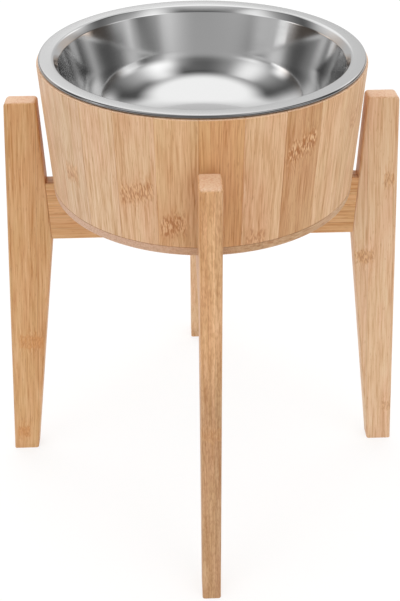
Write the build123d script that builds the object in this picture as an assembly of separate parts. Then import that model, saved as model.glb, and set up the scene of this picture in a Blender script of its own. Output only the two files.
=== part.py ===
from build123d import *
import math
import os

# An elevated pet feeder: a steel bowl hanging in a bamboo drum, which stands on a crossed bamboo stand
# with four splayed legs. Millimetres. Z points up, and the origin is on the floor under the drum's middle.
# The front is -Y, and angles round the drum are counted from the front towards +X.

# Stand
leg_height = 379.0
leg_thickness = 16.0
leg_top_width = 25.4
leg_foot_width = 24.5
leg_splay = 39.6  # the foot's outer edge stands this far out past the top's
leg_edge_round = 2.0
leg_crown_round = 4.0  # the outer corner at the top
leg_nose_round = 3.0  # the inner corner at the top
brace_thickness = 15.0
brace_height = 54.0
brace_drop = 72.0  # from the leg tops down to the brace tops
brace_edge_round = 1.5
halving_gap = 0.1  # beside each cheek of the crossed joint

# Dowels that fix the brace ends to the legs
dowel_diameter = 8.0
dowel_length = 40.0
dowel_spacing = 28.0
dowel_chamfer = 0.8
dowel_radial_gap = 0.05
dowel_end_gap = 1.0

# Drum
stave_count = 26
stave_turn = -3.0  # degrees from the front to the first joint between staves
stave_thickness = 10.0
stave_height = 100.0
stave_top_round = 1.0
stave_foot_chamfer = 0.4
drum_top_radius = 127.0
drum_taper = 2.8  # the drum's foot is this much smaller in radius than its top
drum_gap = 4.6  # between the drum's top edge and each leg
base_thickness = 7.0  # the band of the base board that shows below the staves
base_edge_round = 2.0
rebate_height = 3.0  # the step of the base board inside the staves
rebate_gap = 0.2

# Bowl
sheet = 1.0
bowl_depth = 75.5
bowl_gap = 5.4  # between the bowl's wall and the staves, at the mouth
wall_taper = 15.0  # degrees
corner_radius = 51.0
shoulder_slope = 54.5  # degrees: the steep band that leads from the flange down to the wall
shoulder_length = 4.6
shoulder_round = 3.0  # the bends above and below the shoulder
flange_slope = 3.0  # degrees, falling towards the mouth
flange_setback = 1.5  # the flange's rim stands inside the drum's edge
bead_radius = 1.6
bead_flat = 1.2  # the flat strip under the bead that the bowl rests on
bead_inner_round = 0.8
step_radius = 40.0  # the shallow raised disc in the middle of the bowl's floor
step_height = 0.8
step_slope_width = 2.5

# Places that follow from the sizes above
brace_top = leg_height - brace_drop
brace_bottom = brace_top - brace_height
brace_middle = (brace_top + brace_bottom) / 2
leg_inner_radius = drum_top_radius + drum_gap
leg_top_radius = leg_inner_radius + leg_top_width
leg_foot_radius = leg_top_radius + leg_splay
drum_bottom_radius = drum_top_radius - drum_taper
stave_angle = 360 / stave_count
stave_bottom = brace_top + base_thickness
stave_top = stave_bottom + stave_height
stave_foot_inner_radius = drum_bottom_radius - stave_thickness
mouth_radius = drum_top_radius - stave_thickness - bowl_gap - sheet
flange_radius = drum_top_radius - flange_setback


# Directions in a section through the axis, in degrees from the outward radius
up = 90
inward = 180
down = -90


# A place in a section through the axis: x is the radius and z the height.
def at(x, z):
    return Vector(x, 0, z)


# The point at a distance from a centre, along a direction in degrees from the outward radius.
def polar(centre, radius, degrees):
    turn = math.radians(degrees)
    return centre + at(radius * math.cos(turn), radius * math.sin(turn))


def arc(centre, radius, start, end):
    middle = (start + end) / 2
    return ThreePointArc(polar(centre, radius, start), polar(centre, radius, middle), polar(centre, radius, end))


# One leg, standing out along +X. Its inner edge is upright beside the drum and the brace, and slants out below.
def make_leg():
    outline = Polyline(
        at(leg_inner_radius, leg_height),
        at(leg_top_radius, leg_height),
        at(leg_foot_radius, 0),
        at(leg_foot_radius - leg_foot_width, 0),
        at(leg_inner_radius, brace_bottom),
        close=True,
    )
    face = make_face(outline)
    top_corners = face.vertices().group_by(Axis.Z)[-1].sort_by(Axis.X)
    face = fillet(top_corners[0], leg_nose_round)
    crown = face.vertices().group_by(Axis.Z)[-1].sort_by(Axis.X)[-1]
    face = fillet(crown, leg_crown_round)
    leg = extrude(face, amount=leg_thickness / 2, dir=(0, 1, 0), both=True)
    sides = leg.faces().group_by(Axis.Y)
    rims = sides[0].edges() + sides[-1].edges()
    foot = leg.faces().sort_by(Axis.Z)[0].edges()
    leg = fillet([edge for edge in rims if edge not in foot], leg_edge_round)
    return leg - dowels_along_x(dowel_radial_gap, dowel_end_gap)


# The pair of dowels, or with gaps their two holes, where the brace end at +X meets its leg.
def dowels_along_x(radial_gap=0.0, end_gap=0.0, chamfer_size=0.0):
    pair = []
    for side in (-1, 1):
        place = Location((leg_inner_radius, 0, brace_middle + side * dowel_spacing / 2), (0, 90, 0))
        pin = Cylinder(dowel_diameter / 2 + radial_gap, dowel_length + 2 * end_gap)
        if chamfer_size:
            pin = chamfer(pin.edges().filter_by(GeomType.CIRCLE), chamfer_size)
        pair.append(place * pin)
    return pair


# One brace along X, with half its height cut away in the middle for the other brace to cross it.
def make_brace(notch_up):
    length = 2 * leg_inner_radius
    brace = Pos(0, 0, brace_middle) * Box(length, brace_thickness, brace_height)
    brace = fillet(brace.edges().filter_by(Axis.X), brace_edge_round)
    notch_side = 1 if notch_up else -1
    notch = Box(brace_thickness + 2 * halving_gap, brace_thickness, brace_height / 2)
    brace -= Pos(0, 0, brace_middle + notch_side * brace_height / 4) * notch
    brace -= dowels_along_x(dowel_radial_gap, dowel_end_gap)
    brace -= Rot(0, 0, 180) * Compound(dowels_along_x(dowel_radial_gap, dowel_end_gap))
    return brace


# One stave of the drum: its long section turned through its share of the circle.
def make_stave(number):
    section = make_face(
        Polyline(
            at(stave_foot_inner_radius, stave_bottom),
            at(drum_bottom_radius, stave_bottom),
            at(drum_top_radius, stave_top),
            at(drum_top_radius - stave_thickness, stave_top),
            close=True,
        )
    )
    top_edge = section.vertices().group_by(Axis.Z)[-1].sort_by(Axis.X)[-1]
    section = fillet(top_edge, stave_top_round)
    foot_edge = section.vertices().group_by(Axis.Z)[0].sort_by(Axis.X)[-1]
    section = chamfer(foot_edge, stave_foot_chamfer)
    stave = revolve(section, Axis.Z, stave_angle)
    return Rot(0, 0, -90 + stave_turn + number * stave_angle) * stave


# The round base board: a band as wide as the drum, and a step that sits inside the staves.
def make_drum_base():
    band = Pos(0, 0, brace_top) * Cylinder(
        drum_bottom_radius, base_thickness, align=(Align.CENTER, Align.CENTER, Align.MIN)
    )
    band = fillet(band.edges().group_by(Axis.Z)[0], base_edge_round)
    step = Pos(0, 0, stave_bottom) * Cylinder(
        stave_foot_inner_radius - rebate_gap, rebate_height, align=(Align.CENTER, Align.CENTER, Align.MIN)
    )
    return band + step


# The bowl, one drawn sheet turned about the axis. Its inner and outer faces are the same run of lines and
# arcs, a sheet's thickness apart, closed by the bead round the flange.
def make_bowl():
    slope = flange_slope
    bead_centre = at(flange_radius - bead_radius, stave_top + bead_radius)
    rim_top = bead_centre.Z + bead_radius
    floor = rim_top - bowl_depth

    # The lower bend's centre lies beside the wall, and the upper one's, a shoulder's length off, under the flange.
    lower_x = mouth_radius + shoulder_round * math.cos(math.radians(wall_taper))
    upper_x = lower_x + shoulder_length * math.cos(math.radians(shoulder_slope))
    run = (bead_centre.X - upper_x) / math.cos(math.radians(slope))
    run -= (bead_radius - shoulder_round) * math.tan(math.radians(slope))
    upper_centre = polar(polar(bead_centre, bead_radius - shoulder_round, up + slope), -run, slope)
    lower_centre = polar(upper_centre, -shoulder_length, shoulder_slope)
    wall_top = polar(lower_centre, shoulder_round, inward - wall_taper)

    # The corner's centre is one corner radius in from the wall and one up from the floor.
    corner_z = floor + corner_radius
    corner_x = wall_top.X - (wall_top.Z - corner_z) * math.tan(math.radians(wall_taper))
    corner_x -= corner_radius / math.cos(math.radians(wall_taper))
    corner_centre = at(corner_x, corner_z)

    def skin(offset):
        floor_z = floor - offset
        bend = shoulder_round - offset
        wall_foot = polar(corner_centre, corner_radius + offset, -wall_taper)
        wall_head = polar(lower_centre, bend, inward - wall_taper)
        shoulder_foot = polar(lower_centre, bend, up + shoulder_slope)
        shoulder_head = polar(upper_centre, bend, up + shoulder_slope)
        lines = [
            Line(at(0, floor_z + step_height), at(step_radius, floor_z + step_height)),
            Line(at(step_radius, floor_z + step_height), at(step_radius + step_slope_width, floor_z)),
            Line(at(step_radius + step_slope_width, floor_z), at(corner_x, floor_z)),
            arc(corner_centre, corner_radius + offset, down, -wall_taper),
            Line(wall_foot, wall_head),
            arc(lower_centre, bend, inward - wall_taper, up + shoulder_slope),
            Line(shoulder_foot, shoulder_head),
            arc(upper_centre, bend, up + shoulder_slope, up + slope),
        ]
        return lines, polar(upper_centre, bend, up + slope)

    inner, inner_end = skin(0)
    outer, outer_end = skin(sheet)
    bead_top = polar(bead_centre, bead_radius, up + slope)
    bead_foot = polar(bead_centre, bead_radius, down)
    flat_end = bead_foot - at(bead_flat, 0)
    bead_back_x = flat_end.X - bead_inner_round
    under_z = outer_end.Z + (bead_back_x - outer_end.X) * math.tan(math.radians(slope))
    bead_back = at(bead_back_x, under_z)
    bead_corner = at(flat_end.X, flat_end.Z + bead_inner_round)
    rim = [
        Line(inner_end, bead_top),
        arc(bead_centre, bead_radius, up + slope, down),
        Line(bead_foot, flat_end),
        arc(bead_corner, bead_inner_round, down, -inward),
        Line(polar(bead_corner, bead_inner_round, -inward), bead_back),
        Line(bead_back, outer_end),
    ]
    middle = Line(at(0, floor + step_height), at(0, floor + step_height - sheet))
    section = make_face(inner + rim + outer + [middle])
    return revolve(section, Axis.Z, 360)


os.makedirs("parts", exist_ok=True)


def save(node, shape):
    export_step(shape, "parts/" + node + ".step")


leg = make_leg()
leg_turns = {"leg_right": 0, "leg_rear": 90, "leg_left": 180, "leg_front": 270}
for node, turn in leg_turns.items():
    save(node, Rot(0, 0, turn) * leg)

save("brace_across", make_brace(notch_up=True))
save("brace_front_to_rear", Rot(0, 0, 90) * make_brace(notch_up=False))

dowels = []
for turn in leg_turns.values():
    for dowel in dowels_along_x(chamfer_size=dowel_chamfer):
        dowels.append(Rot(0, 0, turn) * dowel)
save("dowels", Compound(children=dowels))

for number in range(stave_count):
    save(f"stave_{number + 1:02d}", make_stave(number))
save("drum_base", make_drum_base())
save("bowl", make_bowl())
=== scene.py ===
import math

import bmesh
import bpy
from mathutils import Matrix, Vector


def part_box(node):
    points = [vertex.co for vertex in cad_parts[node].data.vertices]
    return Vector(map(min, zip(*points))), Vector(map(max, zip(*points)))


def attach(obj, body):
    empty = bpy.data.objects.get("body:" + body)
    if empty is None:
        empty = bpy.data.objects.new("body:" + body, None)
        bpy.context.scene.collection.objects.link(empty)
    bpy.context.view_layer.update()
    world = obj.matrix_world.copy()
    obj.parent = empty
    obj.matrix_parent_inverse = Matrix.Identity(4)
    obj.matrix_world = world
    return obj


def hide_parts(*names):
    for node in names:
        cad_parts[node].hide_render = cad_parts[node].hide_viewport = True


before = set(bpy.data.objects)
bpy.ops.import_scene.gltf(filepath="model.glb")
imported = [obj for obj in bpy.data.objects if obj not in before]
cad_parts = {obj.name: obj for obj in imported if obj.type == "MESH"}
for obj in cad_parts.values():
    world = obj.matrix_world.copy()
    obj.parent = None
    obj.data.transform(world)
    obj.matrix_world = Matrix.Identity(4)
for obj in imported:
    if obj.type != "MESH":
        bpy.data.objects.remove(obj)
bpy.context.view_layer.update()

# Looks for a raised pet feeder: a steel bowl in a bamboo drum on a crossed bamboo stand.
# Metres, Z up, the front towards -Y. Sizes in the dictionaries are millimetres, but metres in the last two,
# the stage and the camera.
mm = 0.001
tolerance = 0.01  # in millimetres: places no further apart than this are one place
sharpAngle = 32.0  # in degrees: an edge that turns by more is shaded sharp
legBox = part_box("leg_right")
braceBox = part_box("brace_across")
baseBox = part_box("drum_base")
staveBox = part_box("stave_01")
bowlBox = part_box("bowl")
print("frame loaded")


def hexToLinear(code):  # sRGB hex to the linear values that shaders take
    channels = [int(code[i:i + 2], 16) / 255 for i in (1, 3, 5)]
    linear = [c / 12.92 if c <= 0.04045 else ((c + 0.055) / 1.055) ** 2.4 for c in channels]
    return (*linear, 1.0)


def setInputs(tree, node, inputs):  # each a plain value, an output, or a node for its first output
    for socket, value in inputs.items():
        if isinstance(value, bpy.types.Node):
            value = value.outputs[0]
        if isinstance(value, bpy.types.NodeSocket):
            tree.links.new(value, node.inputs[socket])
        else:
            node.inputs[socket].default_value = value


def addNode(tree, kind, inputs=None, **settings):
    node = tree.nodes.new(kind)
    for key, value in settings.items():
        setattr(node, key, value)
    setInputs(tree, node, inputs or {})
    return node


def mapped(value, low, high, start=0.0, end=1.0):  # a range node's inputs: low to high becomes start to end
    return {"Value": value, "From Min": low, "From Max": high, "To Min": start, "To Max": end}


def setStops(ramp, places, colours):  # a ramp starts with two stops: they become the first and the last
    elements = ramp.color_ramp.elements
    for end in (0, -1):
        elements[end].position = places[end]
        elements[end].color = colours[end]
    for place, colour in zip(places[1:-1], colours[1:-1]):
        elements.new(place).color = colour


def newMaterial(name):
    material = bpy.data.materials.new(name)
    material.use_nodes = True
    return material, material.node_tree, material.node_tree.nodes["Principled BSDF"]


def addPiece(name, vertices, faces):
    mesh = bpy.data.meshes.new(name)
    mesh.from_pydata(vertices, [], faces)
    piece = bpy.data.objects.new(name, mesh)
    bpy.context.scene.collection.objects.link(piece)
    return piece


def faceOutward(mesh):
    shape = bmesh.new()
    shape.from_mesh(mesh)
    bmesh.ops.recalc_face_normals(shape, faces=shape.faces)
    shape.to_mesh(mesh)
    shape.free()


def bakeModifiers(piece):  # the evaluated mesh takes the place of the plain one
    evaluated = piece.evaluated_get(bpy.context.evaluated_depsgraph_get())
    baked = bpy.data.meshes.new_from_object(evaluated)
    piece.modifiers.clear()
    piece.data = baked


def writeGrain(mesh, place):  # (across, through, along the fibres) in millimetres, at every point
    grain = mesh.attributes.new("grain", "FLOAT_VECTOR", "POINT")
    for item, vertex in zip(grain.data, mesh.vertices):
        item.vector = place(vertex.co / mm)


def shadeByAngle(mesh):
    mesh.shade_smooth()
    mesh.set_sharp_from_angle(angle=math.radians(sharpAngle))


# Bamboo: strips split from the stem, planed, glued and sanded, under a thin satin lacquer.
# Long pale and tan fibres run through it, and each strip crosses a knuckle of the stem here and there.
# This is what every bamboo piece has in common. A piece's own dictionary changes some of it.
bamboo = {
    "dark": "#c0854a", "middle": "#d5a36e", "light": "#e2b888", "toneSpread": 0.12,
    "fromObject": False,  # True where the fibres run along Z and the mesh carries no grain of its own
    "tint": "",  # the name of a colour attribute that the tones are multiplied by
    "paintedLightTop": None,  # painted light: a board made paler towards its upper end, against the shade there: start, end and gain
    "fibreWay": (0.0, 0.0, 1.0),  # along the fibres
    "faceWay": (1.0, 0.0, 0.0),  # out of a board's broad face
    # Strips, side by side and in layers, and how far the grain of one may be from the next one's
    "stripWidth": 22.0, "layerThickness": 5.3, "stripContrast": 0.05, "stripShift": (90.0, 70.0, 400.0),
    "glueLine": 0.5, "glueDepth": 0.12,
    # Streaks: width, length and detail. Real fibres are 0.3 mm wide: the fine ones are this coarse to show
    "fine": (0.8, 30.0, 2.0), "streak": (2.0, 60.0, 3.0), "band": (9.0, 240.0, 2.0),
    "weights": (0.44, 0.34, 0.22),  # of those three in a fibre's tone
    "wander": (16.0, 70.0, 1.0), "ripple": (3.0, 5.0, 2.0), "swirl": (5.0, 7.0, 1.0),
    "wanderBy": 0.7, "rippleBy": 8.0, "swirlBy": 1.8,
    "drift": (14.0, 60.0, 1.0), "driftRange": (0.38, 0.62),
    "driftHues": ((1.012, 0.988, 0.985, 1.0), (0.99, 1.008, 0.975, 1.0)),  # pinkish and yellowish
    # Marks: each with the part of its noise that it fades in over
    "dash": (0.9, 7.0, 1.0), "dashRange": (0.62, 0.74), "dashDepth": 0.5, "dashTone": "#dcc8b0",
    "edgeFleck": (1.1, 4.5, 1.0), "edgeFleckRange": (0.46, 0.62), "edgeRange": (0.5, 0.95), "mottle": 0.0,
    # Knuckles: height, place across the fibres, half width, rise from left to right, and strength
    "knuckles": [], "knuckleReach": 8.0, "knuckleHalo": 22.0, "fullReach": 0.4, "fullWidth": 0.75,
    "knuckleTone": "#cb8d50", "knuckleDark": "#aa6a33", "knuckleLight": "#efc892",
    "knuckleDepth": 0.8, "groundDepth": 0.4, "haloDepth": 0.35,
    "fan": (1.5, 13.0, 1.0), "fanRange": (0.50, 0.62),
    "fleck": (0.95, 4.4, 1.0), "darkRange": (0.49, 0.56), "lightRange": (0.47, 0.41), "fleckSlant": 0.08,
    "endDark": "#e0af8a", "endLight": "#eac6a5", "endRange": (0.55, 0.95),
    "endDot": (1.3, 60.0, 1.0), "endDotRange": (0.32, 0.58),
    "glossRange": (0.3, 0.7), "roughness": (0.58, 0.44),
    "fineRelief": 0.6, "relief": 0.35, "reliefHeight": 0.12,
    "lacquer": {"IOR": 1.5, "Coat Weight": 0.12, "Coat Roughness": 0.35},
}


def fibreLayer(tree, grain, streaks):
    width, length, detail = streaks
    stretch = (1 / width, 1 / width, 1 / length)
    stretched = addNode(tree, "ShaderNodeVectorMath", {0: grain, 1: stretch}, operation="MULTIPLY")
    return addNode(tree, "ShaderNodeTexNoise", {"Vector": stretched, "Scale": 1.0, "Detail": detail})


def knuckleMask(tree, across, along, knuckle, reach, look):
    # Full at the middle of a knuckle, falling to 0 at its reach along the fibres and at its edges across them
    height, middle, halfWidth, rise, strength = knuckle
    start = height - middle * rise
    ownHeight = addNode(tree, "ShaderNodeMath", {0: across, 1: rise, 2: start}, operation="MULTIPLY_ADD")
    above = addNode(tree, "ShaderNodeMath", {0: along, 1: ownHeight}, operation="SUBTRACT")
    above = addNode(tree, "ShaderNodeMath", {0: above}, operation="ABSOLUTE")
    fade = addNode(tree, "ShaderNodeMapRange", mapped(
        above, reach * look["fullReach"], reach, strength, 0.0,
    ), interpolation_type="SMOOTHSTEP")
    beside = addNode(tree, "ShaderNodeMath", {0: across, 1: middle}, operation="SUBTRACT")
    beside = addNode(tree, "ShaderNodeMath", {0: beside}, operation="ABSOLUTE")
    edge = addNode(tree, "ShaderNodeMapRange", mapped(
        beside, halfWidth * look["fullWidth"], halfWidth, 1.0, 0.0,
    ), interpolation_type="SMOOTHSTEP")
    return addNode(tree, "ShaderNodeMath", {0: fade, 1: edge}, operation="MULTIPLY")


def bambooMaterial(name, look):
    material, tree, shader = newMaterial(name)
    place = addNode(tree, "ShaderNodeTexCoord").outputs
    if look["fromObject"]:
        scale = (1 / mm,) * 3
        grain = addNode(tree, "ShaderNodeMapping", {"Vector": place["Object"], "Scale": scale}).outputs[0]
    else:
        grain = addNode(tree, "ShaderNodeAttribute", attribute_name="grain").outputs["Vector"]
    across, through, along = addNode(tree, "ShaderNodeSeparateXYZ", {0: grain}).outputs

    # Strips: each has its own tone, and a thin glue line beside it
    width, contrast = look["stripWidth"], look["stripContrast"]
    strip = addNode(tree, "ShaderNodeMath", {0: across, 1: width}, operation="DIVIDE")
    layer = addNode(tree, "ShaderNodeMath", {0: through, 1: look["layerThickness"]}, operation="DIVIDE")
    stripNumber = addNode(tree, "ShaderNodeMath", {0: strip}, operation="FLOOR")
    layerNumber = addNode(tree, "ShaderNodeMath", {0: layer}, operation="FLOOR")
    numbers = addNode(tree, "ShaderNodeCombineXYZ", {0: stripNumber, 1: layerNumber})
    chance = addNode(tree, "ShaderNodeTexWhiteNoise", {"Vector": numbers}, noise_dimensions="3D").outputs
    stripTone = addNode(tree, "ShaderNodeMapRange", mapped(
        chance["Value"], 0.0, 1.0, 1 - contrast, 1 + contrast,
    ))
    inStrip = addNode(tree, "ShaderNodeMath", {0: strip, 1: 1.0}, operation="PINGPONG")
    glueLine = addNode(tree, "ShaderNodeMapRange", mapped(
        inStrip, 0.0, look["glueLine"] / width, 1 - look["glueDepth"], 1.0,
    ))

    # Fibres wander a little along their length, and bend round the knuckles
    shifts = {}
    for bend in ("wander", "ripple", "swirl"):
        by = look[bend + "By"]
        bent = fibreLayer(tree, grain, look[bend])
        shifts[bend] = addNode(tree, "ShaderNodeMapRange", mapped(bent, 0.0, 1.0, -by, by))
    waved = addNode(tree, "ShaderNodeMath", {0: along, 1: shifts["ripple"]}, operation="ADD")
    halo, core = 0.0, 0.0
    for knuckle in look["knuckles"]:
        wide = knuckleMask(tree, across, waved, knuckle, look["knuckleHalo"], look)
        near = knuckleMask(tree, across, waved, knuckle, look["knuckleReach"], look)
        halo = addNode(tree, "ShaderNodeMath", {0: halo, 1: wide}, operation="MAXIMUM")
        core = addNode(tree, "ShaderNodeMath", {0: core, 1: near}, operation="MAXIMUM")
    shift = addNode(tree, "ShaderNodeMath", {0: shifts["swirl"], 1: halo}, operation="MULTIPLY")
    shift = addNode(tree, "ShaderNodeMath", {0: shifts["wander"], 1: shift}, operation="ADD")
    shift = addNode(tree, "ShaderNodeCombineXYZ", {0: shift})
    stripStart = addNode(tree, "ShaderNodeVectorMath", {
        0: chance["Color"], 1: look["stripShift"], 2: shift,
    }, operation="MULTIPLY_ADD")  # no streak runs on from one strip into the next
    bent = addNode(tree, "ShaderNodeVectorMath", {0: grain, 1: stripStart}, operation="ADD")

    fine, streak, band = (fibreLayer(tree, bent, look[kind]) for kind in ("fine", "streak", "band"))
    fibre = 0.0
    for part, weight in zip((fine, streak, band), look["weights"]):
        fibre = addNode(tree, "ShaderNodeMath", {0: part, 1: weight, 2: fibre}, operation="MULTIPLY_ADD")
    ramp = addNode(tree, "ShaderNodeValToRGB", {0: fibre})
    places = (0.5 - look["toneSpread"], 0.5, 0.5 + look["toneSpread"])
    setStops(ramp, places, [hexToLinear(look[tone]) for tone in ("dark", "middle", "light")])
    shade = addNode(tree, "ShaderNodeMath", {0: stripTone, 1: glueLine}, operation="MULTIPLY")
    # Painted light: the board is made paler towards its upper end, to lift the shade that falls there
    if look["paintedLightTop"]:
        start, end, gain = look["paintedLightTop"]
        pale = addNode(tree, "ShaderNodeMapRange", mapped(along, start, end, 1.0, 1 + gain))
        shade = addNode(tree, "ShaderNodeMath", {0: shade, 1: pale}, operation="MULTIPLY")
    colour = addNode(tree, "ShaderNodeVectorMath", {0: ramp, 1: shade}, operation="MULTIPLY")

    # Bundles of fibre cut open by the sanding, as short dashes, browner than the wood round them
    dashes = fibreLayer(tree, bent, look["dash"])
    darker = addNode(tree, "ShaderNodeMapRange", mapped(dashes, *look["dashRange"], 0.0, look["dashDepth"]))
    if look["mottle"]:  # fleck beside fleck on the slanting edges, which cut across the fibres
        edgeOn = addNode(tree, "ShaderNodeVectorMath", {
            0: place["Normal"], 1: look["faceWay"],
        }, operation="DOT_PRODUCT").outputs["Value"]
        edgeOn = addNode(tree, "ShaderNodeMath", {0: edgeOn}, operation="ABSOLUTE")
        edgeOn = addNode(tree, "ShaderNodeMapRange", mapped(edgeOn, *look["edgeRange"], look["mottle"], 0.0))
        flecks = fibreLayer(tree, bent, look["edgeFleck"])
        flecks = addNode(tree, "ShaderNodeMapRange", mapped(flecks, *look["edgeFleckRange"]))
        flecks = addNode(tree, "ShaderNodeMath", {0: flecks, 1: edgeOn}, operation="MULTIPLY")
        darker = addNode(tree, "ShaderNodeMath", {0: darker, 1: flecks}, operation="MAXIMUM")
    brown = hexToLinear(look["dashTone"])[:3]
    browner = addNode(tree, "ShaderNodeVectorMath", {0: colour, 1: brown}, operation="MULTIPLY")
    colour = addNode(tree, "ShaderNodeMix", {
        "Factor": darker, 4: colour, 5: browner,
    }, data_type="VECTOR").outputs[1]
    hue = addNode(tree, "ShaderNodeValToRGB", {0: fibreLayer(tree, bent, look["drift"])})
    setStops(hue, look["driftRange"], look["driftHues"])
    colour = addNode(tree, "ShaderNodeVectorMath", {0: colour, 1: hue}, operation="MULTIPLY")
    if look["tint"]:
        tint = addNode(tree, "ShaderNodeAttribute", attribute_name=look["tint"])
        colour = addNode(tree, "ShaderNodeVectorMath", {0: colour, 1: tint}, operation="MULTIPLY")

    # Knuckles: darker streaks fan out from a band of short slanted flecks, reddish brown and cream
    fan = fibreLayer(tree, bent, look["fan"])
    fan = addNode(tree, "ShaderNodeMapRange", mapped(fan, *look["fanRange"], 0.0, look["haloDepth"]))
    fan = addNode(tree, "ShaderNodeMath", {0: fan, 1: halo}, operation="MULTIPLY")
    ground = addNode(tree, "ShaderNodeMath", {
        0: core, 1: look["groundDepth"], 2: fan,
    }, operation="MULTIPLY_ADD")
    slant = addNode(tree, "ShaderNodeMath", {0: along, 1: look["fleckSlant"]}, operation="MULTIPLY")
    slant = addNode(tree, "ShaderNodeCombineXYZ", {0: slant})
    slant = addNode(tree, "ShaderNodeVectorMath", {0: grain, 1: slant}, operation="ADD")
    flecks = fibreLayer(tree, slant, look["fleck"])
    layers = [(ground, "knuckleTone")]
    for span, tone in (("darkRange", "knuckleDark"), ("lightRange", "knuckleLight")):
        share = addNode(tree, "ShaderNodeMapRange", mapped(flecks, *look[span]))
        share = addNode(tree, "ShaderNodeMath", {0: share, 1: core}, operation="MULTIPLY")
        share = addNode(tree, "ShaderNodeMath", {0: share, 1: look["knuckleDepth"]}, operation="MULTIPLY")
        layers.append((share, tone))
    for share, tone in layers:
        colour = addNode(tree, "ShaderNodeMix", {
            "Factor": share, 6: colour, 7: hexToLinear(look[tone]),
        }, data_type="RGBA").outputs["Result"]

    # End grain is paler and pinker, with dots where the bundles end
    facing = addNode(tree, "ShaderNodeVectorMath", {
        0: place["Normal"], 1: look["fibreWay"],
    }, operation="DOT_PRODUCT").outputs["Value"]
    facing = addNode(tree, "ShaderNodeMath", {0: facing}, operation="ABSOLUTE")
    endShare = addNode(tree, "ShaderNodeMapRange", mapped(facing, *look["endRange"]))
    endGrain = addNode(tree, "ShaderNodeValToRGB", {0: fibreLayer(tree, grain, look["endDot"])})
    setStops(endGrain, look["endDotRange"], [hexToLinear(look[tone]) for tone in ("endDark", "endLight")])
    colour = addNode(tree, "ShaderNodeMix", {
        "Factor": endShare, 6: colour, 7: endGrain,
    }, data_type="RGBA").outputs["Result"]

    gloss = addNode(tree, "ShaderNodeMapRange", mapped(streak, *look["glossRange"], *look["roughness"]))
    relief = addNode(tree, "ShaderNodeMath", {0: fine, 1: look["fineRelief"]}, operation="MULTIPLY")
    relief = addNode(tree, "ShaderNodeMath", {0: flecks, 1: core, 2: relief}, operation="MULTIPLY_ADD")
    bump = addNode(tree, "ShaderNodeBump", {
        "Strength": look["relief"], "Distance": look["reliefHeight"] * mm, "Height": relief,
    })
    setInputs(tree, shader, {"Base Color": colour, "Roughness": gloss, "Normal": bump, **look["lacquer"]})
    return material


# Legs and braces: flat boards with rounded edges, cut to their outline and drilled for dowels
board = {
    "legTopWidth": 25.4, "legFootWidth": 24.5, "legEdgeRound": 2.0, "crownRound": 4.0, "noseRound": 3.0,
    "braceEdgeRound": 1.5, "halvingGap": 0.1, "roundSteps": 5, "cornerSteps": 8,
    "dowelHole": 8.1, "dowelHoleDepth": 21.0, "dowelSpacing": 28.0, "holeSides": 32,
}
legInner, legOuter, legTop = legBox[0].x / mm, legBox[1].x / mm, legBox[1].z / mm
legThickness = (legBox[1].y - legBox[0].y) / mm
braceBottom, braceTop = braceBox[0].z / mm, braceBox[1].z / mm
braceThickness = (braceBox[1].y - braceBox[0].y) / mm
braceMiddle = (braceBottom + braceTop) / 2


def roundedCorner(before, corner, after, radius, steps):  # points of the arc that cuts the corner
    toBefore, toAfter = (before - corner).normalized(), (after - corner).normalized()
    half = toBefore.angle(toAfter) / 2
    centre = corner + (toBefore + toAfter).normalized() * radius / math.sin(half)
    start = corner + toBefore * radius / math.tan(half) - centre
    end = corner + toAfter * radius / math.tan(half) - centre
    sweep = start.angle(end)
    points = []
    for i in range(steps + 1):
        share = i / steps
        fromStart, fromEnd = math.sin((1 - share) * sweep), math.sin(share * sweep)
        points.append(centre + (start * fromStart + end * fromEnd) / math.sin(sweep))
    return points


def makeBoard(name, outline, thickness, rounding, isRounded):
    # A flat board in the XZ plane. isRounded says which edges of its outline are rounded over.
    half = thickness / 2
    count = len(outline)
    vertices = [Vector((p.x, y, p.y)) * mm for y in (-half, half) for p in outline]
    faces = [tuple(range(count)), tuple(reversed(range(count, 2 * count)))]
    faces += [(i, i + count, (i + 1) % count + count, (i + 1) % count) for i in range(count)]
    piece = addPiece(name, vertices, faces)
    mesh = piece.data
    faceOutward(mesh)
    weights = mesh.attributes.new("bevel_weight_edge", "FLOAT", "EDGE")
    for edge, weight in zip(mesh.edges, weights.data):
        a, b = (mesh.vertices[i].co / mm for i in edge.vertices)
        if abs(a.y - b.y) < tolerance and isRounded(a, b):
            weight.value = 1.0
    bevel = piece.modifiers.new("rounded edges", "BEVEL")
    bevel.width = rounding * mm
    bevel.segments = board["roundSteps"]
    bevel.limit_method = "WEIGHT"
    bakeModifiers(piece)
    return piece


def drillHoles(piece, directions):  # two blind dowel holes in each end that meets a joint
    radius, depth, sides = board["dowelHole"] / 2, board["dowelHoleDepth"], board["holeSides"]
    vertices, faces = [], []
    for direction in directions:
        for side in (-1, 1):
            first = len(vertices)
            z = braceMiddle + side * board["dowelSpacing"] / 2
            for x in (legInner - depth, legInner + depth):
                for i in range(sides):
                    turn = 2 * math.pi * i / sides
                    place = (direction * x, radius * math.cos(turn), z + radius * math.sin(turn))
                    vertices.append(Vector(place) * mm)
            faces.append(tuple(range(first, first + sides)))
            faces.append(tuple(reversed(range(first + sides, first + 2 * sides))))
            for i in range(sides):
                j = (i + 1) % sides
                faces.append((first + i, first + i + sides, first + j + sides, first + j))
    drill = addPiece("drill", vertices, faces)
    faceOutward(drill.data)
    cut = piece.modifiers.new("dowel holes", "BOOLEAN")
    cut.object = drill
    cut.operation = "DIFFERENCE"
    cut.solver = "EXACT"
    bakeModifiers(piece)
    bpy.data.objects.remove(drill)


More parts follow.
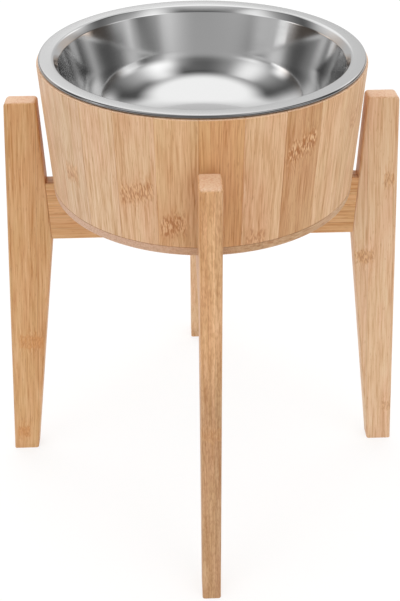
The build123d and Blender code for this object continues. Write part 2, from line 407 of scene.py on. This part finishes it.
def makeLeg(name):
    corners = [
        Vector((legInner, braceBottom)), Vector((legInner, legTop)),
        Vector((legInner + board["legTopWidth"], legTop)),
        Vector((legOuter, 0.0)), Vector((legOuter - board["legFootWidth"], 0.0)),
    ]
    outline = [corners[0]]
    outline += roundedCorner(*corners[:3], board["noseRound"], board["cornerSteps"])
    outline += roundedCorner(*corners[1:4], board["crownRound"], board["cornerSteps"])
    outline += corners[3:]
    piece = makeBoard(
        name, outline, legThickness, board["legEdgeRound"], lambda a, b: max(a.z, b.z) > tolerance,
    )
    drillHoles(piece, [1])
    return piece


def legGrain(p):  # the fibres follow the outer edge, which slants
    splay = legOuter - legInner - board["legTopWidth"]
    return p.x - splay * (1 - p.z / legTop), p.y - legThickness / 2, p.z


# Each leg's turn from the right one, and its own look, with the knuckles where the photograph shows them
legs = {
    "legRight": {
        "node": "leg_right", "turn": 0,
        "look": {
            "dark": "#cc9a6f", "middle": "#e1ba94", "light": "#e9c9a6",
            "knuckles": [
                (304.0, 150.0, 5.0, 0.0, 0.8), (228.0, 129.0, 10.0, 0.0, 0.8), (46.0, 152.0, 5.0, 0.0, 0.6),
            ],
            "knuckleDepth": 0.5, "groundDepth": 0.3,
        },
    },
    "legRear": {
        "node": "leg_rear", "turn": 90,
        "look": {
            "dark": "#cc9867", "middle": "#dfb58c", "light": "#e9c59f", "mottle": 0.2,
            "knuckles": [(110.0, 147.0, 20.0, 0.0, 0.6)],
        },
    },
    "legLeft": {
        "node": "leg_left", "turn": 180,
        "look": {
            "knuckles": [(140.0, 138.0, 13.0, 0.0, 0.9), (23.0, 147.0, 7.0, 0.0, 1.0)],
            "knuckleDepth": 0.35, "groundDepth": 0.55, "knuckleReach": 10.0,
            "knuckleTone": "#d08e4e", "knuckleDark": "#b87438", "knuckleLight": "#e4ac6c",
        },
    },
    "legFront": {
        "node": "leg_front", "turn": 270,
        "look": {
            "dark": "#ab7846", "middle": "#c5986d", "light": "#d8b088", "toneSpread": 0.14,
            # painted light: the upper end is made paler, to lift the shade that falls on it
            "mottle": 0.5, "paintedLightTop": (200.0, 260.0, 0.28),
            "knuckles": [(178.0, 157.0, 20.0, 0.0, 0.5)], "knuckleDepth": 0.4, "haloDepth": 0.2,
        },
    },
}
for name, leg in legs.items():
    piece = makeLeg(name)
    writeGrain(piece.data, legGrain)
    piece.data.transform(Matrix.Rotation(math.radians(leg["turn"]), 4, "Z"))
    shadeByAngle(piece.data)
    piece.data.materials.clear()
    piece.data.materials.append(bambooMaterial("laminated bamboo, " + name, {**bamboo, **leg["look"]}))
    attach(piece, "stand")
    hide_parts(leg["node"])
print("legs made")


def makeBrace(name, notchUp):
    half = legInner
    gap = braceThickness / 2 + board["halvingGap"]
    notched, plain = (braceTop, braceBottom) if notchUp else (braceBottom, braceTop)
    rim = [
        (-half, notched), (-gap, notched), (-gap, braceMiddle), (gap, braceMiddle), (gap, notched),
        (half, notched), (half, plain), (-half, plain),
    ]
    if not notchUp:
        rim.reverse()  # so that both outlines run the same way round
    piece = makeBoard(
        name, [Vector(p) for p in rim], braceThickness, board["braceEdgeRound"],
        lambda a, b: abs(a.z - b.z) < tolerance and abs(a.z - braceMiddle) > tolerance,
    )
    drillHoles(piece, [-1, 1])
    return piece


brace = {
    "dark": "#c6864a", "middle": "#dba872", "light": "#e3b688",
    "stripWidth": 5.4, "layerThickness": 40.0, "stripContrast": 0.045, "glueLine": 0.45, "glueDepth": 0.16,
}
for name, node, turn, notchUp, way in (
    ("braceAcross", "brace_across", 0, True, (1.0, 0.0, 0.0)),
    ("braceFrontToRear", "brace_front_to_rear", 90, False, (0.0, 1.0, 0.0)),
):
    piece = makeBrace(name, notchUp)
    writeGrain(piece.data, lambda p: (p.z - braceBottom, p.y, p.x))
    piece.data.transform(Matrix.Rotation(math.radians(turn), 4, "Z"))
    shadeByAngle(piece.data)
    look = {**bamboo, **brace, "fibreWay": way}
    piece.data.materials.clear()
    piece.data.materials.append(bambooMaterial("laminated bamboo, " + name, look))
    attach(piece, "stand")
    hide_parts(node)
print("braces made")

# Dowels: turned bamboo pins, hidden in their holes
dowelLook = {
    "fromObject": True, "stripWidth": 50.0, "layerThickness": 50.0, "dark": "#c79f72", "light": "#e4c8a0",
}
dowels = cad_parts["dowels"]
dowels.data.materials.clear()
dowels.data.materials.append(bambooMaterial("turned bamboo dowel", {**bamboo, **dowelLook}))


# Drum: staves glued edge to edge and turned round outside, so that fine joints show between changing tones
drum = {
    "staveCount": 26, "staveTurn": -3.0, "staveThickness": 10.0, "topRadius": 127.0, "footRadius": 124.2,
    "topRound": 1.0, "footChamfer": 0.4, "jointEase": 0.25, "columns": 8, "roundSteps": 5,
    "grainShift": 137.0,  # from one stave's grain to the next one's
    "baseRound": 2.0, "baseRoundSteps": 6, "rebateGap": 0.2, "baseGrain": -48.0, "rings": 192,
}
staveLow, staveHigh = staveBox[0].z / mm, staveBox[1].z / mm


def polar(centre, radius, degrees):  # in a section: (radius, height), degrees from outward
    turn = math.radians(degrees)
    return centre[0] + radius * math.cos(turn), centre[1] + radius * math.sin(turn)


def arcPoints(centre, radius, start, end, steps):
    return [polar(centre, radius, start + (end - start) * i / steps) for i in range(steps + 1)]


def makeStave():
    # One stave, its middle towards +X. Its long section is turned through its share of the circle.
    top, foot, thick = drum["topRadius"], drum["footRadius"], drum["staveThickness"]
    corner, chamfer, ease = drum["topRound"], drum["footChamfer"], drum["jointEase"]
    section = [(foot - thick, staveLow), (foot - chamfer, staveLow), (foot, staveLow + chamfer)]
    section += arcPoints((top - corner, staveHigh - corner), corner, 0, 90, drum["roundSteps"])
    section += [(top - thick, staveHigh)]
    middle = ((top + foot - thick) / 2, (staveLow + staveHigh) / 2)
    half = math.pi / drum["staveCount"]
    full = half - ease / top  # beyond it the stave's edge is eased
    steps = drum["columns"]
    columns = [(-half, ease)] + [(full * (2 * i / steps - 1), 0.0) for i in range(steps + 1)] + [(half, ease)]
    vertices, faces = [], []
    for turn, inset in columns:
        for r, z in section:
            r -= math.copysign(inset, r - middle[0])
            z -= math.copysign(inset, z - middle[1])
            vertices.append(Vector((r * math.cos(turn), r * math.sin(turn), z)) * mm)
    count = len(section)
    for c in range(len(columns) - 1):
        for i in range(count):
            j = (i + 1) % count
            faces.append((c * count + i, c * count + j, (c + 1) * count + j, (c + 1) * count + i))
    faces.append(tuple(range(count)))
    faces.append(tuple(reversed(range(len(vertices) - count, len(vertices)))))
    stave = addPiece("stave", vertices, faces)
    faceOutward(stave.data)
    shadeByAngle(stave.data)
    writeGrain(stave.data, lambda p: (
        math.atan2(p.y, p.x) * top, math.hypot(p.x, p.y) - top, p.z - staveLow,
    ))
    return stave


def staveRing(stave, material):  # Geometry Nodes: the stave repeated round the axis, each with its number
    tree = bpy.data.node_groups.new("stave ring", "GeometryNodeTree")
    kinds = {"Stave": "Object", "Count": "Int", "First Turn": "Float", "Finish": "Material"}
    for name, kind in kinds.items():
        tree.interface.new_socket(name, in_out="INPUT", socket_type="NodeSocket" + kind)
    tree.interface.new_socket("Geometry", in_out="OUTPUT", socket_type="NodeSocketGeometry")
    given = addNode(tree, "NodeGroupInput").outputs
    source = addNode(tree, "GeometryNodeObjectInfo", {"Object": given["Stave"]})
    points = addNode(tree, "GeometryNodePoints", {"Count": given["Count"]})
    number = addNode(tree, "GeometryNodeInputIndex")
    share = addNode(tree, "ShaderNodeMath", {0: number, 1: given["Count"]}, operation="DIVIDE")
    turn = addNode(tree, "ShaderNodeMath", {
        0: share, 1: 2 * math.pi, 2: given["First Turn"],
    }, operation="MULTIPLY_ADD")
    spin = addNode(tree, "ShaderNodeCombineXYZ", {2: turn})
    rotation = addNode(tree, "FunctionNodeEulerToRotation", {0: spin})
    placed = addNode(tree, "GeometryNodeInstanceOnPoints", {
        "Points": points, "Instance": source.outputs["Geometry"], "Rotation": rotation,
    })
    numbered = addNode(tree, "GeometryNodeStoreNamedAttribute", {
        "Geometry": placed, "Name": "staveNumber", "Value": number,
    }, data_type="FLOAT", domain="INSTANCE")
    real = addNode(tree, "GeometryNodeRealizeInstances", {0: numbered})
    painted = addNode(tree, "GeometryNodeSetMaterial", {"Geometry": real, "Material": given["Finish"]})
    addNode(tree, "NodeGroupOutput", {0: painted})
    ring = addPiece("drumStaves", [], [])
    modifier = ring.modifiers.new("stave ring", "NODES")
    modifier.node_group = tree
    values = {
        "Stave": stave, "Count": drum["staveCount"], "Finish": material,
        "First Turn": math.radians(-90 + drum["staveTurn"] + 180 / drum["staveCount"]),
    }
    for item in tree.interface.items_tree:
        if item.in_out == "INPUT":
            modifier[item.identifier] = values[item.name]
    bakeModifiers(ring)
    return ring


staveBase = "#d5ad87"  # the tone that the staves' tints are counted from
staveTones = [  # counted from the front leg towards the right
    "#d49e6a", "#ddaf85", "#ce9c6d", "#dbaf83", "#d7ab7e", "#d7ad84", "#dbb189", "#d1a475",
    "#d9ae82", "#ddb38a", "#cd9e70", "#dbb085", "#d8aa7e", "#dcb48c", "#d4a77a", "#daaf84",
    "#deb68d", "#cea072", "#d7ae87", "#d9b18b", "#d5ac84", "#d7b18e", "#d5b08c", "#dcb48f",
    "#dbb088", "#d9ac7e",
]
staveKnuckles = [  # stave number, height above its foot, place across it, half width, rise, strength
    (0, 114.0, 0.0, 9.0, 0.0, 0.2), (1, 3.0, -4.0, 9.0, 0.0, 0.5), (2, 71.0, 0.0, 14.0, 0.3, 1.0),
    (4, 71.0, 3.0, 9.0, 0.2, 0.5), (7, 30.0, 0.0, 12.0, 0.0, 0.8), (9, 64.0, 0.0, 12.0, 0.2, 0.6),
    (11, 82.0, 0.0, 12.0, 0.0, 0.9), (14, 18.0, 0.0, 12.0, -0.2, 0.7), (16, 55.0, 0.0, 12.0, 0.0, 0.8),
    (20, 88.0, 0.0, 12.0, 0.3, 0.5), (22, 38.0, -2.0, 9.0, 0.0, 0.6), (24, 41.0, 0.0, 15.0, 0.28, 0.7),
    (25, 18.0, -4.0, 11.0, 0.2, 0.8),
]
staveLook = {
    "dark": "#bd8a59", "middle": "#d6ae88", "light": "#e3c29f", "toneSpread": 0.145, "tint": "staveTint",
    "stripWidth": 60.0, "layerThickness": 40.0, "stripContrast": 0.0, "glueDepth": 0.0, "wanderBy": 0.2,
    "fine": (0.75, 42.0, 2.0), "weights": (0.54, 0.26, 0.20), "haloDepth": 0.45, "groundDepth": 0.5,
    "knuckleReach": 10.0, "knuckleTone": "#c5854a", "knuckleDark": "#a8652e", "knuckleLight": "#e9c093",
    "knuckles": [
        (height, number * drum["grainShift"] + place, half, rise, strength)
        for number, height, place, half, rise, strength in staveKnuckles
    ],
}
stave = makeStave()
staves = staveRing(stave, bambooMaterial("coopered bamboo staves", {**bamboo, **staveLook}))
bpy.data.objects.remove(stave)
tint = staves.data.attributes.new("staveTint", "FLOAT_COLOR", "POINT").data
grain = staves.data.attributes["grain"].data
base = hexToLinear(staveBase)
for i, number in enumerate(staves.data.attributes["staveNumber"].data):
    tone = hexToLinear(staveTones[round(number.value)])
    tint[i].color = [own / common for own, common in zip(tone, base)]
    grain[i].vector += Vector((number.value * drum["grainShift"], 0.0, 0.0))
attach(staves, "drum")
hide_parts(*[f"stave_{number + 1:02d}" for number in range(drum["staveCount"])])
print("staves made")


def lathe(name, section, rings):  # a section turned round the axis: a point on the axis becomes one pole
    vertices, faces, rows = [], [], []
    for r, z in section:
        if r < tolerance:
            rows.append([len(vertices)] * rings)
            vertices.append(Vector((0, 0, z)) * mm)
            continue
        rows.append(list(range(len(vertices), len(vertices) + rings)))
        for i in range(rings):
            turn = 2 * math.pi * i / rings
            vertices.append(Vector((r * math.cos(turn), r * math.sin(turn), z)) * mm)
    for lower, upper in zip(rows, rows[1:]):
        for i in range(rings):
            j = (i + 1) % rings
            faces.append(tuple(dict.fromkeys([lower[i], lower[j], upper[j], upper[i]])))
    return addPiece(name, vertices, faces)


# Drum base: a round board glued up from parallel strips, so that its edge is end grain on two sides only
baseLow, baseHigh, baseRadius = baseBox[0].z / mm, baseBox[1].z / mm, baseBox[1].x / mm
rebateRadius = drum["footRadius"] - drum["staveThickness"] - drum["rebateGap"]
corner = drum["baseRound"]
section = [(0.0, baseLow)]
section += arcPoints((baseRadius - corner, baseLow + corner), corner, -90, 0, drum["baseRoundSteps"])
section += [(baseRadius, staveLow), (rebateRadius, staveLow), (rebateRadius, baseHigh), (0.0, baseHigh)]
base = lathe("drumBase", section, drum["rings"])
baseTurn = math.radians(drum["baseGrain"])
fibreWay = Vector((math.sin(baseTurn), -math.cos(baseTurn), 0.0))
acrossWay = Vector((math.cos(baseTurn), math.sin(baseTurn), 0.0))
writeGrain(base.data, lambda p: (p.dot(acrossWay), p.z, p.dot(fibreWay)))
shadeByAngle(base.data)
baseLook = {
    "dark": "#b68457", "middle": "#caa078", "light": "#d7b18a", "stripWidth": 19.0, "layerThickness": 40.0,
    "fibreWay": tuple(fibreWay), "endDark": "#c29579", "endLight": "#d4af93",
}
base.data.materials.append(bambooMaterial("bamboo board, glued from strips", {**bamboo, **baseLook}))
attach(base, "drum")
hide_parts("drum_base")
print("drum base made")


# Stainless steel: pressed from sheet. The wall is mirror polished, the floor and flange are finely turned,
# and the underside is matt. The bead's lower, outer side is darker steel: painted shade.
bowl = {
    "sheet": 1.0, "depth": 75.5, "mouthRadius": 110.6, "wallTaper": 15.0, "cornerRadius": 51.0,
    "shoulderSlope": 54.5, "shoulderLength": 4.6, "shoulderRound": 3.0,
    "flangeSlope": 3.0, "beadRadius": 1.6, "beadFlat": 1.2, "beadInnerRound": 0.8,
    "discRadius": 40.0, "discHeight": 0.8, "discSlope": 2.5,
    "rings": 900, "discSteps": 6, "lipSteps": (4, 7), "cornerSteps": 26, "cornerStepsBelow": 10,
    "beadSteps": 16, "brightBeadSteps": 4, "hookSteps": 4,
}
turning = {"noiseRange": (0.3, 0.7), "detail": 2.0, "roughnessRange": (0.8, 1.2), "height": 0.02}
finishes = {  # colour, roughness, and the turned lines' width, breaks round the circle and depth
    "polished": ("#c2c2c2", 0.1, 0.8, 3.0, 0.01),
    # painted shade: the bead's lower, outer side is made darker than the steel round it
    "bead": ("#8c8c8d", 0.1, 0.8, 3.0, 0.01),
    "floor": ("#c2c2c2", 0.14, 0.9, 5.0, 0.1),
    "flange": ("#c2c2c2", 0.2, 0.6, 5.0, 0.15),
    "underside": ("#bcbcbc", 0.4, 0.6, 5.0, 0.3),
}


def steelMaterial(name, colour, roughness, lineWidth, lineBreaks, lineDepth):
    material, tree, shader = newMaterial(name)
    place = addNode(tree, "ShaderNodeTexCoord").outputs["Object"]
    flat = addNode(tree, "ShaderNodeVectorMath", {0: place, 1: (1.0, 1.0, 0.0)}, operation="MULTIPLY")
    radius = addNode(tree, "ShaderNodeVectorMath", {0: flat}, operation="LENGTH").outputs["Value"]
    way = addNode(tree, "ShaderNodeVectorMath", {0: flat}, operation="NORMALIZE")
    height = addNode(tree, "ShaderNodeSeparateXYZ", {0: place}).outputs["Z"]
    reach = addNode(tree, "ShaderNodeMath", {0: radius, 1: height}, operation="ADD")
    # Turned lines follow the circle: they change fast outwards and slowly round it
    rings = addNode(tree, "ShaderNodeMath", {0: reach, 1: 1 / (lineWidth * mm)}, operation="MULTIPLY")
    rings = addNode(tree, "ShaderNodeCombineXYZ", {2: rings})
    lines = addNode(tree, "ShaderNodeVectorMath", {
        0: way, 1: (lineBreaks,) * 3, 2: rings,
    }, operation="MULTIPLY_ADD")
    turned = addNode(tree, "ShaderNodeTexNoise", {"Vector": lines, "Scale": 1.0, "Detail": turning["detail"]})
    least, most = (roughness * share for share in turning["roughnessRange"])
    gloss = addNode(tree, "ShaderNodeMapRange", mapped(turned, *turning["noiseRange"], least, most))
    bump = addNode(tree, "ShaderNodeBump", {
        "Strength": lineDepth, "Distance": turning["height"] * mm, "Height": turned,
    })
    setInputs(tree, shader, {
        "Base Color": hexToLinear(colour), "Metallic": 1.0, "Roughness": gloss, "Normal": bump,
    })
    return material


def bowlSection():  # runs of (finish, points): from the floor's middle up inside, round the bead, back below
    taper, slope = bowl["wallTaper"], bowl["flangeSlope"]
    tanTaper, cosTaper = math.tan(math.radians(taper)), math.cos(math.radians(taper))
    tanSlope, cosSlope = math.tan(math.radians(slope)), math.cos(math.radians(slope))
    rimRadius, rimTop = bowlBox[1].x / mm, bowlBox[1].z / mm
    bead, bend = bowl["beadRadius"], bowl["shoulderRound"]
    steep, length = bowl["shoulderSlope"], bowl["shoulderLength"]
    beadCentre = (rimRadius - bead, rimTop - bead)
    floor = rimTop - bowl["depth"]
    upperX = bowl["mouthRadius"] + bend * cosTaper + length * math.cos(math.radians(steep))
    run = (beadCentre[0] - upperX) / cosSlope - (bead - bend) * tanSlope
    upper = polar(polar(beadCentre, bead - bend, 90 + slope), -run, slope)
    lower = polar(upper, -length, steep)
    wallTop = polar(lower, bend, 180 - taper)
    cornerZ = floor + bowl["cornerRadius"]
    cornerX = wallTop[0] - (wallTop[1] - cornerZ) * tanTaper - bowl["cornerRadius"] / cosTaper

    def skin(offset, cornerSteps):
        top = floor - offset + bowl["discHeight"]
        step = []
        for i in range(bowl["discSteps"] + 1):
            share = i / bowl["discSteps"]
            fall = share * share * (3 - 2 * share)
            step.append((bowl["discRadius"] + bowl["discSlope"] * share, top - bowl["discHeight"] * fall))
        flat = [(0.0, top), (bowl["discRadius"] / 2, top)] + step
        side = arcPoints((cornerX, cornerZ), bowl["cornerRadius"] + offset, -90, -taper, cornerSteps)
        lip = arcPoints(lower, bend - offset, 180 - taper, 90 + steep, bowl["lipSteps"][0])
        lip += arcPoints(upper, bend - offset, 90 + steep, 90 + slope, bowl["lipSteps"][1])
        return flat, side, lip

    flat, side, lip = skin(0, bowl["cornerSteps"])
    flatBelow, sideBelow, lipBelow = skin(bowl["sheet"], bowl["cornerStepsBelow"])
    roll = arcPoints(beadCentre, bead, 90 + slope, -90, bowl["beadSteps"])
    # The bead's first steps keep the polished finish; the rest takes the darker steel, as painted shade
    bright = bowl["brightBeadSteps"]
    inner = bowl["beadInnerRound"]
    hookCentre = (roll[-1][0] - bowl["beadFlat"], roll[-1][1] + inner)
    hook = arcPoints(hookCentre, inner, -90, -180, bowl["hookSteps"])
    backX = hook[-1][0]
    back = (backX, lipBelow[-1][1] + (backX - lipBelow[-1][0]) * tanSlope)
    under = [back] + lipBelow[::-1] + sideBelow[::-1] + flatBelow[::-1]
    return [
        ("floor", flat), ("polished", side + lip), ("flange", roll[:1]), ("polished", roll[1:bright]),
        ("bead", roll[bright:] + hook), ("underside", under),
    ]


section, finishOf = [], []
for finish, points in bowlSection():
    section += points
    finishOf += [finish] * len(points)
bowlPiece = lathe("bowl_visual", section, bowl["rings"])
for finish, look in finishes.items():
    bowlPiece.data.materials.append(steelMaterial("stainless steel, " + finish, *look))
slots = list(finishes)
rowFaces = []
for finish in finishOf[1:]:  # each ring of faces takes the finish of its outer edge
    rowFaces += [slots.index(finish)] * bowl["rings"]
bowlPiece.data.polygons.foreach_set("material_index", rowFaces)
shadeByAngle(bowlPiece.data)
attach(bowlPiece, "bowl")
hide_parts("bowl")
print("bowl made")


# Stage: a white floor, and a studio whose soft boxes and reflectors are drawn in the world. Their places
# were found by fitting what the bowl reflects in the photograph. Azimuth 0 is the viewer's side, and plus is
# to the right.
stage = {
    "floorSize": 12.0, "floorColour": "#fcfcfc", "floorGlow": 0.7, "floorWhite": 1.06, "floorRoughness": 0.9,
    "darkFloor": (-0.48, -0.72),  # from here to there, before the feeder, it turns black in reflections
    "brightness": 1.10, "walls": 0.10,
    "ceiling": {"level": 1.45, "edge": 58.8, "frontDip": 2.2, "soft": 8.3},
    "backWall": {"level": 0.53, "edge": 123.2, "soft": 14.5, "rise": 0.013},
    "lowFill": {"level": 0.3, "edge": 30.0, "soft": 15.0},  # for matt surfaces: the steel doesn't show it
    "warmSides": {  # beige at either side, low down, as the bowl's shoulder shows it
        "colour": "#ffebdb", "azimuth": 116.0, "halfWide": 30.0, "elevation": 5.0, "halfHigh": 12.0,
        "soft": 12.0,
    },
    "softBoxes": [  # azimuth, half width, softness, elevation, half height, softness in degrees, and level
        (-56.6, 29.6, 23.8, 37.6, 16.6, 13.6, 0.53),
        (72.0, 14.1, 24.0, 35.4, 13.6, 10.2, 0.57),
        (-83.4, 6.6, 7.0, 19.6, 6.5, 5.9, 1.41),
        (108.4, 3.4, 7.3, 0.3, 12.5, 2.4, 1.79),
        (-2.1, 33.9, 7.4, 8.6, 14.2, 9.4, 0.43),
        (-67.5, 14.8, 10.8, 0.3, 14.3, 3.8, 0.58),
        (63.1, 3.2, 7.8, 8.7, 13.3, 1.2, 0.75),
        (-148.0, 36.9, 9.7, 33.5, 12.1, 10.5, 0.51),
        (32.3, 6.1, 24.0, 24.3, 14.5, 8.5, 0.95),
        (-46.1, 10.6, 6.5, 15.1, 5.8, 1.0, 0.32),
        (-73.8, 5.3, 1.0, 2.9, 4.2, 2.8, 1.92),
        (55.6, 3.9, 11.0, 6.5, 5.1, 1.8, 0.38),
        (73.9, 7.4, 8.7, 17.4, 7.6, 4.8, 1.07),
        (-80.4, 9.7, 2.6, 13.2, 1.4, 4.7, 1.59),
        (-54.9, 13.5, 12.8, 34.1, 17.7, 2.0, 0.76),
        (46.2, 14.7, 14.5, 38.9, 15.7, 6.7, 1.21),
        (-120.8, 8.3, 1.1, 10.0, 4.8, 7.0, 1.12),
        (131.7, 18.0, 17.1, 30.2, 5.7, 5.5, 0.90),
        (10.0, 26.8, 22.4, 37.3, 9.9, 1.8, 0.08),
    ],
    "glossyBounces": 12,  # light runs round the inside of the bowl many times
}


def makeFloor():  # matt, so that it takes the shadow, with a white glow for the camera and for reflections
    half = stage["floorSize"] / 2
    corners = [(-half, -half, 0), (half, -half, 0), (half, half, 0), (-half, half, 0)]
    floor = addPiece("floor", corners, [(0, 1, 2, 3)])
    material, tree, shader = newMaterial("pale floor")
    setInputs(tree, shader, {
        "Base Color": hexToLinear(stage["floorColour"]), "Roughness": stage["floorRoughness"],
        "Specular IOR Level": 0.0,
    })
    ray = addNode(tree, "ShaderNodeLightPath").outputs
    seen = addNode(tree, "ShaderNodeMath", {
        0: ray["Is Camera Ray"], 1: ray["Is Glossy Ray"],
    }, operation="MAXIMUM")
    seen = addNode(tree, "ShaderNodeMath", {0: seen, 1: ray["Is Transmission Ray"]}, operation="MAXIMUM")
    share = addNode(tree, "ShaderNodeMath", {0: seen, 1: stage["floorGlow"]}, operation="MULTIPLY")
    place = addNode(tree, "ShaderNodeTexCoord").outputs["Object"]
    place = addNode(tree, "ShaderNodeSeparateXYZ", {0: place}).outputs["Y"]
    before = addNode(tree, "ShaderNodeMapRange", mapped(place, *stage["darkFloor"]))
    before = addNode(tree, "ShaderNodeMath", {0: before, 1: ray["Is Glossy Ray"]}, operation="MULTIPLY")
    white = addNode(tree, "ShaderNodeMapRange", mapped(before, 0.0, 1.0, stage["floorWhite"], 0.0))
    white = addNode(tree, "ShaderNodeEmission", {"Strength": white})
    both = addNode(tree, "ShaderNodeMixShader", {0: share, 1: shader, 2: white})
    setInputs(tree, tree.nodes["Material Output"], {"Surface": both})
    floor.data.materials.append(material)


def inside(tree, value, edge, soft, level=1.0):  # the level below the edge, 0 beyond it
    ends = mapped(value, edge - soft, edge + soft, level, 0.0)
    return addNode(tree, "ShaderNodeMapRange", ends, interpolation_type="SMOOTHSTEP")


def offBy(tree, value, middle):  # how far an angle is from a middle one, either way
    apart = addNode(tree, "ShaderNodeMath", {0: value, 1: middle}, operation="SUBTRACT")
    apart = addNode(tree, "ShaderNodeMath", {0: apart, 1: 180.0, 2: -180.0}, operation="WRAP")
    return addNode(tree, "ShaderNodeMath", {0: apart}, operation="ABSOLUTE")


def patch(tree, angles, azimuth, halfWide, softWide, elevation, halfHigh, softHigh, level=1.0):
    # A patch of the studio with soft edges: across it and up it, each from its level to 0
    wide = inside(tree, offBy(tree, angles[0], azimuth), halfWide, softWide, level)
    high = inside(tree, offBy(tree, angles[1], elevation), halfHigh, softHigh)
    return wide, high


def makeStudio():
    world = bpy.data.worlds.new("studio")
    bpy.context.scene.world = world
    world.use_nodes = True
    tree = world.node_tree
    ray = addNode(tree, "ShaderNodeLightPath").outputs
    place = addNode(tree, "ShaderNodeTexCoord").outputs["Generated"]
    x, y, z = addNode(tree, "ShaderNodeSeparateXYZ", {0: place}).outputs
    forward = addNode(tree, "ShaderNodeMath", {0: y, 1: -1.0}, operation="MULTIPLY")
    azimuth = addNode(tree, "ShaderNodeMath", {0: x, 1: forward}, operation="ARCTAN2")
    azimuth = addNode(tree, "ShaderNodeMath", {0: azimuth, 1: math.degrees(1)}, operation="MULTIPLY")
    elevation = addNode(tree, "ShaderNodeMath", {0: z}, operation="ARCSINE")
    elevation = addNode(tree, "ShaderNodeMath", {0: elevation, 1: math.degrees(1)}, operation="MULTIPLY")

    # Level: the walls, with a lighter one behind, the soft boxes on them, the ceiling over both, and the fill
    wall = stage["backWall"]
    glow = addNode(tree, "ShaderNodeMath", {0: elevation, 1: wall["rise"], 2: 1.0}, operation="MULTIPLY_ADD")
    behind = inside(tree, offBy(tree, azimuth, 180.0), 180.0 - wall["edge"], wall["soft"], wall["level"])
    glow = addNode(tree, "ShaderNodeMath", {0: glow, 1: behind, 2: stage["walls"]}, operation="MULTIPLY_ADD")
    for box in stage["softBoxes"]:
        wide, high = patch(tree, (azimuth, elevation), *box)
        glow = addNode(tree, "ShaderNodeMath", {0: wide, 1: high, 2: glow}, operation="MULTIPLY_ADD")
    ceiling = stage["ceiling"]
    dip = addNode(tree, "ShaderNodeMath", {0: azimuth, 1: math.radians(1)}, operation="MULTIPLY")
    dip = addNode(tree, "ShaderNodeMath", {0: dip}, operation="COSINE")
    height = addNode(tree, "ShaderNodeMath", {
        0: dip, 1: ceiling["frontDip"], 2: elevation,
    }, operation="MULTIPLY_ADD")
    below = inside(tree, height, ceiling["edge"], ceiling["soft"])
    glow = addNode(tree, "ShaderNodeMix", {"Factor": below, 2: ceiling["level"], 3: glow}, data_type="FLOAT")
    glow = addNode(tree, "ShaderNodeMath", {0: glow, 1: stage["brightness"]}, operation="MULTIPLY")
    fill = stage["lowFill"]
    low = inside(tree, elevation, fill["edge"], fill["soft"], fill["level"])
    glow = addNode(tree, "ShaderNodeMath", {
        0: low, 1: ray["Is Diffuse Ray"], 2: glow,
    }, operation="MULTIPLY_ADD")
    strength = addNode(tree, "ShaderNodeMix", {
        "Factor": ray["Is Camera Ray"], 2: glow, 3: 1.0,
    }, data_type="FLOAT")

    # Colour: white, and beige from either side
    warm = stage["warmSides"]
    aside = addNode(tree, "ShaderNodeMath", {0: azimuth}, operation="ABSOLUTE")
    wide, high = patch(
        tree, (aside, elevation), warm["azimuth"], warm["halfWide"], warm["soft"],
        warm["elevation"], warm["halfHigh"], warm["soft"],
    )
    warmth = addNode(tree, "ShaderNodeMath", {0: wide, 1: high}, operation="MULTIPLY")
    notSeen = addNode(tree, "ShaderNodeMath", {0: 1.0, 1: ray["Is Camera Ray"]}, operation="SUBTRACT")
    warmth = addNode(tree, "ShaderNodeMath", {0: warmth, 1: notSeen}, operation="MULTIPLY")
    hue = addNode(tree, "ShaderNodeMix", {
        "Factor": warmth, 6: (1.0, 1.0, 1.0, 1.0), 7: hexToLinear(warm["colour"]),
    }, data_type="RGBA").outputs["Result"]
    setInputs(tree, tree.nodes["Background"], {"Strength": strength, "Color": hue})


camera = {  # found by fitting the feeder's edges in the photograph, 400 by 601 pixels
    "azimuth": -1.81, "elevation": 35.78, "roll": -0.32, "distance": 0.8, "target": (-0.00265, 0.0, 0.17796),
    "focalPixels": 856.0, "imageHeight": 601, "sensor": 36.0, "clip": (0.05, 50.0),
}


def makeCamera():
    azimuth, elevation, roll = (math.radians(camera[angle]) for angle in ("azimuth", "elevation", "roll"))
    level = Vector((math.cos(azimuth), math.sin(azimuth), 0.0))
    outward = Vector((math.sin(azimuth), -math.cos(azimuth), 0.0))
    back = outward * math.cos(elevation) + Vector((0.0, 0.0, math.sin(elevation)))
    upright = back.cross(level)
    right = level * math.cos(roll) + upright * math.sin(roll)
    upward = upright * math.cos(roll) - level * math.sin(roll)
    eye = bpy.data.cameras.new("camera")
    eye.sensor_width = camera["sensor"]
    eye.lens = camera["focalPixels"] * camera["sensor"] / camera["imageHeight"]
    eye.clip_start, eye.clip_end = camera["clip"]
    holder = bpy.data.objects.new("camera", eye)
    holder.rotation_euler = Matrix((right, upward, back)).transposed().to_euler()
    holder.location = Vector(camera["target"]) + back * camera["distance"]
    bpy.context.scene.collection.objects.link(holder)
    bpy.context.scene.camera = holder


makeFloor()
makeStudio()
makeCamera()
bpy.context.scene.view_settings.view_transform = "Standard"
bpy.context.scene.cycles.glossy_bounces = stage["glossyBounces"]
print("stage made")
